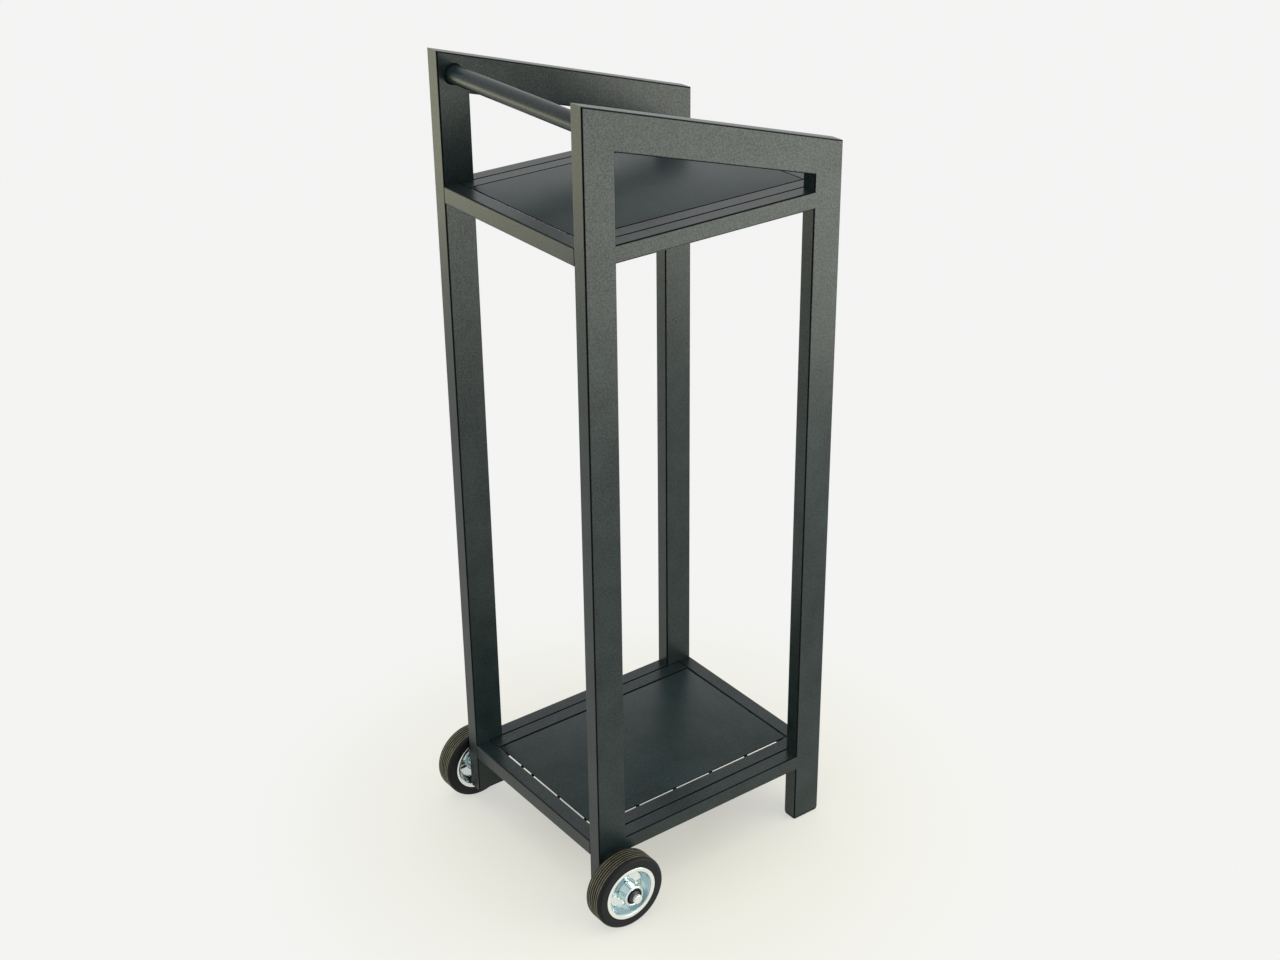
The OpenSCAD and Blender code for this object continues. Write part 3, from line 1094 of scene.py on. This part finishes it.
@dataclass
class Axle:
    """The fixed pin of one wheel with its washer and its retaining ring."""

    finishes: Finishes
    side: Side
    lathe: Lathe
    chamfer: float = 1.0 * MM
    groove_depth: float = 0.3 * MM
    soft_edge: float = 0.12 * MM
    washer_play: float = 0.1 * MM
    washer_edge: float = 0.5 * MM
    ring_play: float = 0.05 * MM
    ring_width: float = 2.6 * MM
    ring_mouth: float = 44
    lug_share: float = 0.6
    lug_turn: float = 10
    hole_share: float = 0.42

    def span(self, part: str) -> tuple[float, float, float]:
        """Measures a part of the axle.

        Args:
            part: The part's node, without its side.

        Returns:
            Its start and end along the axle, and its radius.
        """
        low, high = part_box(f"{self.side.word}_{part}")
        start, end = sorted(self.lathe.along_of(p) for p in (low, high))
        return start, end, (high.z - low.z) / 2

    def build(self) -> None:
        """Makes and dresses the three pieces."""
        self.pin()
        self.washer()
        self.ring()

    def finish(self, piece: Piece, finish: Finish, part: str) -> None:
        """Smooths a piece of the axle and fixes it to the frame."""
        Bench.smooth(piece)
        dress(piece, finish, Body.FRAME, f"{self.side.word}_{part}")

    def pin(self) -> None:
        """The turned pin, with a groove for the ring and a slightly domed end."""
        start, end, r = self.span("axle_pin")
        ring_start, ring_end, _ = self.span("retaining_ring")
        neck = r - self.groove_depth
        c = self.chamfer
        outline = [(start, 0), (start, r - c / 2), (start + c / 2, r)]
        outline += [(ring_start, r), (ring_start, neck), (ring_end, neck), (ring_end, r)]
        outline += arc(end - c, r - c, c, 90, 20, 4) + [(end, r / 3), (end, 0)]
        piece = self.lathe.turn(f"{self.side.word}_turned_pin", outline, closed=False)
        Bench.round_edges(piece, self.soft_edge, 2)
        self.finish(piece, self.finishes.bright, "axle_pin")

    def washer(self) -> None:
        """The punched washer between post and hub, with one face's edges broken and the other's sharp."""
        start, end, r = self.span("axle_washer")
        bore = self.span("axle_pin")[2] + self.washer_play
        edge = self.washer_edge
        outline = [(start, bore), (end - edge, bore), (end, bore + edge)]
        outline += arc(end - edge, r - edge, edge, 0, 90, 3) + [(start, r)]
        piece = self.lathe.turn(f"{self.side.word}_punched_washer", outline)
        self.finish(piece, self.finishes.zinc, "axle_washer")

    def ring(self) -> None:
        """The open spring ring with two lugs and their holes."""
        start, end, _ = self.span("retaining_ring")
        inner = self.span("axle_pin")[2] - self.groove_depth + self.ring_play
        outer = inner + self.ring_width
        outline = [(start, inner), (end, inner), (end, outer), (start, outer)]
        piece = self.lathe.turn(f"{self.side.word}_snap_ring", outline, angle=360 - self.ring_mouth)
        with Bench.editing(piece, Element.EDGE, lambda edge: edge.is_boundary):
            bpy.ops.mesh.edge_face_add()
        with Bench.editing(piece, Element.EDGE):
            turn = -math.radians(180 + self.ring_mouth / 2)
            bpy.ops.transform.rotate(value=turn, orient_axis="X", center_override=self.lathe.centre)
            bpy.ops.mesh.normals_make_consistent(inside=False)
        lug = self.lug_share * self.ring_width
        for turn in (-1, 1):
            angle = 180 + turn * (self.ring_mouth / 2 + self.lug_turn)
            middle = self.lathe.place((start + end) / 2, inner + lug, angle)
            Bench.cut(piece, Bench.rod("lug", middle, lug, end - start), "UNION")
            Bench.cut(piece, Bench.rod("hole", middle, lug * self.hole_share, 3 * MM))
        Bench.round_edges(piece, self.soft_edge, 2)
        self.finish(piece, self.finishes.spring, "retaining_ring")


@dataclass
class Wheel:
    """One wheel: a solid rubber tyre between two pressed rim halves on a hub tube with a bush."""

    finishes: Finishes
    side: Side
    lathe: Lathe
    radius: float
    half_width: float
    hub_half: float
    shoulder: float = 5 * MM
    groove: float = 1 * MM
    groove_pitch: float = 3.6 * MM
    seat_play: float = 0.3 * MM
    seat_edge: float = 0.4 * MM
    rim_radius: float = 36.75 * MM
    lip_radius: float = 30.95 * MM
    lip_bulge: float = 0.25 * MM
    web_radius: float = 26.45 * MM
    web_bend: float = 1.2 * MM
    steel: float = 1.5 * MM
    steel_edge: float = 0.25 * MM
    pad_height: float = 1.2 * MM
    pad_angle: float = 66
    pad_slope: float = 0.9 * MM
    tabs_round: int = 4
    tab_in: float = 14.2 * MM
    tab_length: float = 5.6 * MM
    tab_width: float = 3.4 * MM
    tab_leg: float = 1.4 * MM
    tab_steel: float = 1.0 * MM
    tab_edge: float = 0.3 * MM
    slot_room: float = 1.0 * MM
    hub_radius: float = 12.5 * MM
    hub_wall: float = 1.5 * MM
    hub_lip: float = 1.2 * MM
    hub_roll: float = 0.85 * MM
    hub_edge_along: float = 0.3 * MM
    hub_edge_out: float = 0.4 * MM
    bush_recess: float = 1 * MM
    bush_step: float = 0.6 * MM
    bush_edge: float = 0.3 * MM
    bush_rim_in: float = 1.6 * MM
    bush_rim_out: float = 1.3 * MM
    pin_radius: float = 6 * MM
    play: float = 0.05 * MM

    @classmethod
    def on(cls, finishes: Finishes, side: Side) -> "Wheel":
        """Plans the wheel of one side.

        Args:
            finishes: The cart's finishes.
            side: The wheel's side.

        Returns:
            The wheel, with its place and main sizes from the frame.
        """
        low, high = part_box(f"{side.word}_tyre")
        hub_low, hub_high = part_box(f"{side.word}_hub_tube")
        half = (high - low) / 2
        hub_half = (hub_high.x - hub_low.x) / 2
        return cls(finishes, side, Lathe(side, (low + high) / 2), half.z, half.x, hub_half)

    def build(self) -> None:
        """Makes and dresses all pieces of the wheel."""
        self.tyre()
        self.rim_half("rim_outer_half", outward=1)
        self.rim_half("rim_inner_half", outward=-1)
        self.tabs()
        self.hub()
        self.bush()

    def finish(self, piece: Piece, finish: Finish, part: str) -> None:
        """Smooths a piece of the wheel and lets it ride."""
        Bench.smooth(piece)
        dress(piece, finish, Body.wheel(self.side), f"{self.side.word}_{part}")

    def tyre(self) -> None:
        """The tyre: flat tread with three fine grooves, round shoulders and a seat for the rim."""
        w, r, sh = self.half_width, self.radius, self.shoulder
        inner = w - self.steel
        seat = self.rim_radius + self.seat_play
        half = [(inner, self.lip_radius + self.steel), (inner, seat), (w, seat), (w, seat + self.seat_edge)]
        half += arc(w - sh, r - sh, sh, 0, 90, 8)
        tread = []
        for i in (1, 0, -1):
            middle, g = i * self.groove_pitch, self.groove / 2
            tread += [(middle + 1.5 * g, r), (middle + g, r - 0.4 * g)]
            tread += arc(middle, r - self.groove + g, g, 0, -180, 4)
            tread += [(middle - g, r - 0.4 * g), (middle - 1.5 * g, r)]
        outline = half + tread + mirrored(half) + [(0.0, self.web_radius + self.steel)]
        piece = self.lathe.turn(f"{self.side.word}_tyre_moulding", outline)
        self.finish(piece, self.finishes.rubber, "tyre")

    def rim_half(self, part: str, outward: int) -> None:
        """One pressed half of the rim, with its pads, and slots for the tabs in the outer half.

        Args:
            part: The half's node, without its side.
            outward: 1 for the half away from the cart, -1 for the half next to it.
        """
        w, t, bend = self.half_width, self.steel, self.web_bend
        slope = math.degrees(math.atan2(w - 2 * t, self.lip_radius - self.web_radius))
        front = [(t, self.hub_radius), (t, self.tab_in), (t, self.web_radius - bend)]
        front += arc(t + bend, self.web_radius - 0.9 * bend, bend, 180, 90 + slope, 3)
        front += arc(w - t, self.lip_radius + t, t, 270 - slope, 360, 4)
        front += [(w + self.lip_bulge, self.lip_radius + 2 * t)]
        front += arc(w - t / 2, self.rim_radius - t / 2, t / 2, 0, 180, 6)
        back = [(w - t, self.lip_radius + 2 * t), (0.0, self.web_radius + t), (0.0, self.hub_radius)]
        outline = [(outward * along, out) for along, out in front + back]
        piece = self.lathe.turn(f"{self.side.word}_{part}_pressing", outline)
        self.press_pads(piece, outward)
        if outward == 1:
            self.punch_slots(piece)
        Bench.round_edges(piece, self.steel_edge, 2, 28)
        self.finish(piece, self.finishes.zinc, part)

    def press_pads(self, piece: Piece, outward: int) -> None:
        """Raises the four pads of the web, between the places of the tabs.

        Args:
            piece: The pressing.
            outward: 1 for the outer half, -1 for the inner one.
        """
        face_at = outward * self.steel
        low, high = self.tab_in - NEAR, self.web_radius - MM

        def on_pad(face: bmesh.types.BMFace) -> bool:
            """Tells the faces of the pads.

            Args:
                face: A face of the pressing.

            Returns:
                Whether it lies on the web's outside within a pad.
            """
            middle = face.calc_center_median()
            if abs(self.lathe.along_of(middle) - face_at) > NEAR:
                return False
            from_corner = abs(self.lathe.angle_of(middle) % 90 - 45)
            return low < self.lathe.radius_of(middle) < high and from_corner < self.pad_angle / 2

        with Bench.editing(piece, Element.FACE, on_pad):
            bpy.ops.mesh.inset(thickness=self.pad_slope, depth=0)
            step = Vector((self.side.value * outward * self.pad_height, 0, 0))
            bpy.ops.transform.translate(value=step)

    def tab_angles(self) -> list[float]:
        """Angles of the tabs round the axle, in degrees."""
        return [360 / self.tabs_round * i for i in range(self.tabs_round)]

    def punch_slots(self, piece: Piece) -> None:
        """Punches two slots through the web at the place of each tab.

        Args:
            piece: The outer pressing.
        """
        room, leg = self.slot_room, self.tab_leg
        half = Vector((4 * self.steel, self.tab_width + room, leg + room)) / 2
        inner_slot = self.tab_in + (leg - room) / 2
        outer_slot = self.tab_in + self.tab_length - (leg - room) / 2
        for angle in self.tab_angles():
            for out in (inner_slot, outer_slot):
                cutter = Bench.block("slot", -half, half)
                self.set_round(cutter, self.steel / 2, out, angle)
                Bench.cut(piece, cutter)

    def set_round(self, piece: Piece, along: float, out: float, angle: float) -> None:
        """Moves a piece that was made at the origin, with Z outwards, to its place round the axle."""
        turn = Matrix.Rotation(-math.radians(angle), 4, "X")
        piece.data.transform(Matrix.Translation(self.lathe.place(along, out, angle)) @ turn)

    def tabs(self) -> None:
        """The four clinched tabs: a bridge on the web with two legs in the slots."""
        half = Vector((self.tab_steel, self.tab_width, self.tab_length)) / 2
        inward = -self.side.value
        tab = Bench.block("tab", -half, half)
        for place in (half.z - self.tab_leg, self.tab_leg - half.z):
            with Bench.editing(tab):
                bpy.ops.mesh.bisect(plane_co=(0, 0, place), plane_no=(0, 0, 1))

        def on_leg(face: bmesh.types.BMFace) -> bool:
            """Whether a face is the inner face of one of the tab's ends."""
            return face.normal.x * inward > 0.9 and abs(face.calc_center_median().z) > self.tab_leg

        with Bench.editing(tab, Element.FACE, on_leg):
            depth = (inward * self.steel, 0, 0)
            bpy.ops.mesh.extrude_region_move(TRANSFORM_OT_translate={"value": depth})
        Bench.round_edges(tab, self.tab_edge)
        tabs = Bench.copies(tab, self.tabs_round)
        for twin, angle in zip(tabs, self.tab_angles(), strict=True):
            self.set_round(twin, self.steel + half.x, self.tab_in + half.z, angle)
        self.finish(Bench.join(f"{self.side.word}_clinched_tabs", tabs), self.finishes.zinc, "rim_tabs")

    def hub(self) -> None:
        """The hub tube with a rolled lip at both ends."""
        r, roll, end = self.hub_radius, self.hub_roll, self.hub_half
        bore = r - self.hub_wall
        half = [(end - self.hub_edge_along, bore), (end, bore + self.hub_edge_out)]
        half += arc(end - roll, r + self.hub_lip - roll, roll, 0, 180, 6)
        half += [(end - 2 * roll, r + 0.2 * MM), (end - 2.4 * roll, r)]
        piece = self.lathe.turn(f"{self.side.word}_hub_sleeve", half + mirrored(half))
        self.finish(piece, self.finishes.zinc, "hub_tube")

    def bush(self) -> None:
        """The plastic bush, with chamfers at its bore and a shallow ring in its ends."""
        inner = self.pin_radius + self.play
        outer = self.hub_radius - self.hub_wall
        end = self.hub_half - self.bush_recess
        floor, edge = end - self.bush_step, self.bush_edge
        ring_in, ring_out = inner + self.bush_rim_in, outer - self.bush_rim_out
        half = [(floor, inner), (end, inner + self.bush_step), (end, ring_in), (floor, ring_in + edge)]
        half += [(floor, ring_out - edge), (end, ring_out), (end, outer - edge), (end - edge, outer)]
        piece = self.lathe.turn(f"{self.side.word}_bush_moulding", half + mirrored(half))
        self.finish(piece, self.finishes.plastic, "hub_bush")


# ---------------------------------------------------------------- studio


@dataclass(frozen=True)
class Softbox:
    """A rectangular lamp, its power in watts."""

    name: str
    place: tuple[float, float, float]
    aim: tuple[float, float, float]
    size: tuple[float, float]
    power: float
    colour: tuple[float, float, float] = (1, 1, 1)

    def build(self) -> None:
        """Hangs the lamp at its place and turns it to its aim."""
        data = bpy.data.lights.new(self.name, "AREA")
        data.shape = "RECTANGLE"
        data.size, data.size_y = self.size
        data.energy = self.power
        data.color = self.colour
        lamp = bpy.data.objects.new(self.name, data)
        lamp.location = self.place
        lamp.rotation_euler = (Vector(self.aim) - Vector(self.place)).to_track_quat("-Z", "Y").to_euler()
        bpy.context.scene.collection.objects.link(lamp)


@dataclass
class Studio:
    """Pale floor, soft lamps and the camera. The camera's angles are in degrees, its lens in mm."""

    eye: Vector
    azimuth: float = 53.4263
    elevation: float = 27.2219
    roll: float = -0.6318
    lens: float = 54.3065
    farthest: float = 100
    floor_size: float = 60.0
    sky: float = 0.8
    high_aim: tuple[float, float, float] = (0, 0, 0.7)
    low_aim: tuple[float, float, float] = (0, 0, 0.5)
    warm: tuple[float, float, float] = (1.0, 0.98, 0.62)
    cream: tuple[float, float, float] = (1.0, 1.0, 0.90)

    def build(self) -> None:
        """Sets up floor, world, lamps and camera."""
        self.floor()
        self.world()
        self.lamps()
        self.camera()

    def floor(self) -> None:
        """The floor, wide enough to fill every view."""
        Bench.clear()
        bpy.ops.mesh.primitive_plane_add(size=self.floor_size, location=(0, 0, 0))
        floor = Bench.settle("floor")
        floor.data.materials.append(StudioPaper().build())

    def world(self) -> None:
        """Soft light from all round, and the floor's own tone for camera, mirrors and glass."""
        world = bpy.data.worlds.new("studio")
        bpy.context.scene.world = world
        world.use_nodes = True
        wiring = Wiring(world.node_tree)
        sky = wiring.tree.nodes["Background"]
        sky.inputs["Color"].default_value = (1, 1, 1, 1)
        sky.inputs["Strength"].default_value = self.sky
        pale = wiring.add("Background", {"Color": StudioPaper().pale})
        inputs = {0: wiring.seen(), 1: sky.outputs[0], 2: pale.outputs[0]}
        mix = wiring.add("MixShader", inputs).outputs[0]
        wiring.feed(wiring.tree.nodes["World Output"], "Surface", mix)

    def lamps(self) -> None:
        """Three softboxes: one above, and two low ones to the left behind and to the right in front."""
        Softbox("softbox_top", (0.3, -0.4, 2.9), self.high_aim, (2.0, 2.0), 10).build()
        Softbox("softbox_left", (-1.9, -1.45, 0.42), self.low_aim, (2.0, 0.84), 12, self.warm).build()
        Softbox("softbox_right", (1.4, 1.08, 0.46), self.low_aim, (1.7, 0.9), 20, self.cream).build()

    def camera(self) -> None:
        """The camera at the place, angle and focal length of the reference view."""
        a, e = math.radians(self.azimuth), math.radians(self.elevation)
        back = Vector((math.sin(a) * math.cos(e), -math.cos(a) * math.cos(e), math.sin(e)))
        tilt = Matrix.Rotation(math.radians(self.roll), 3, back)
        right = tilt @ Vector((math.cos(a), math.sin(a), 0))
        turn = Matrix((right, back.cross(right), back)).transposed()
        data = bpy.data.cameras.new("camera")
        data.lens = self.lens
        data.clip_end = self.farthest
        camera = bpy.data.objects.new("camera", data)
        camera.matrix_world = Matrix.Translation(self.eye) @ turn.to_4x4()
        bpy.context.scene.collection.objects.link(camera)
        bpy.context.scene.camera = camera
        bpy.context.scene.view_settings.view_transform = "Standard"


def main() -> None:
    """Builds the studio and all pieces of the cart in order."""
    logging.basicConfig(level=logging.INFO, format="%(name)s: %(message)s")
    Studio(eye=Vector((1.7309, -1.2703, 1.6116))).build()
    finishes = Finishes.build()
    for side in Side:
        SideFrame(finishes, side).build()
    Handle(finishes, WeldSeam(radius=2.1 * MM, pitch=1.9 * MM)).build()
    Tray(finishes, "shelf").build()
    Tray(finishes, "deck", odd_tacks=(-54 * MM,)).build()
    for side in Side:
        Plug(finishes, side, "front_foot", head=5 * MM, rounding=3.5 * MM).build()
        Plug(finishes, side, "rear_cap", head=3 * MM, rounding=2.6 * MM).build()
        wheel = Wheel.on(finishes, side)
        wheel.build()
        Axle(finishes, side, wheel.lathe).build()


if __name__ == "__main__":
    main()
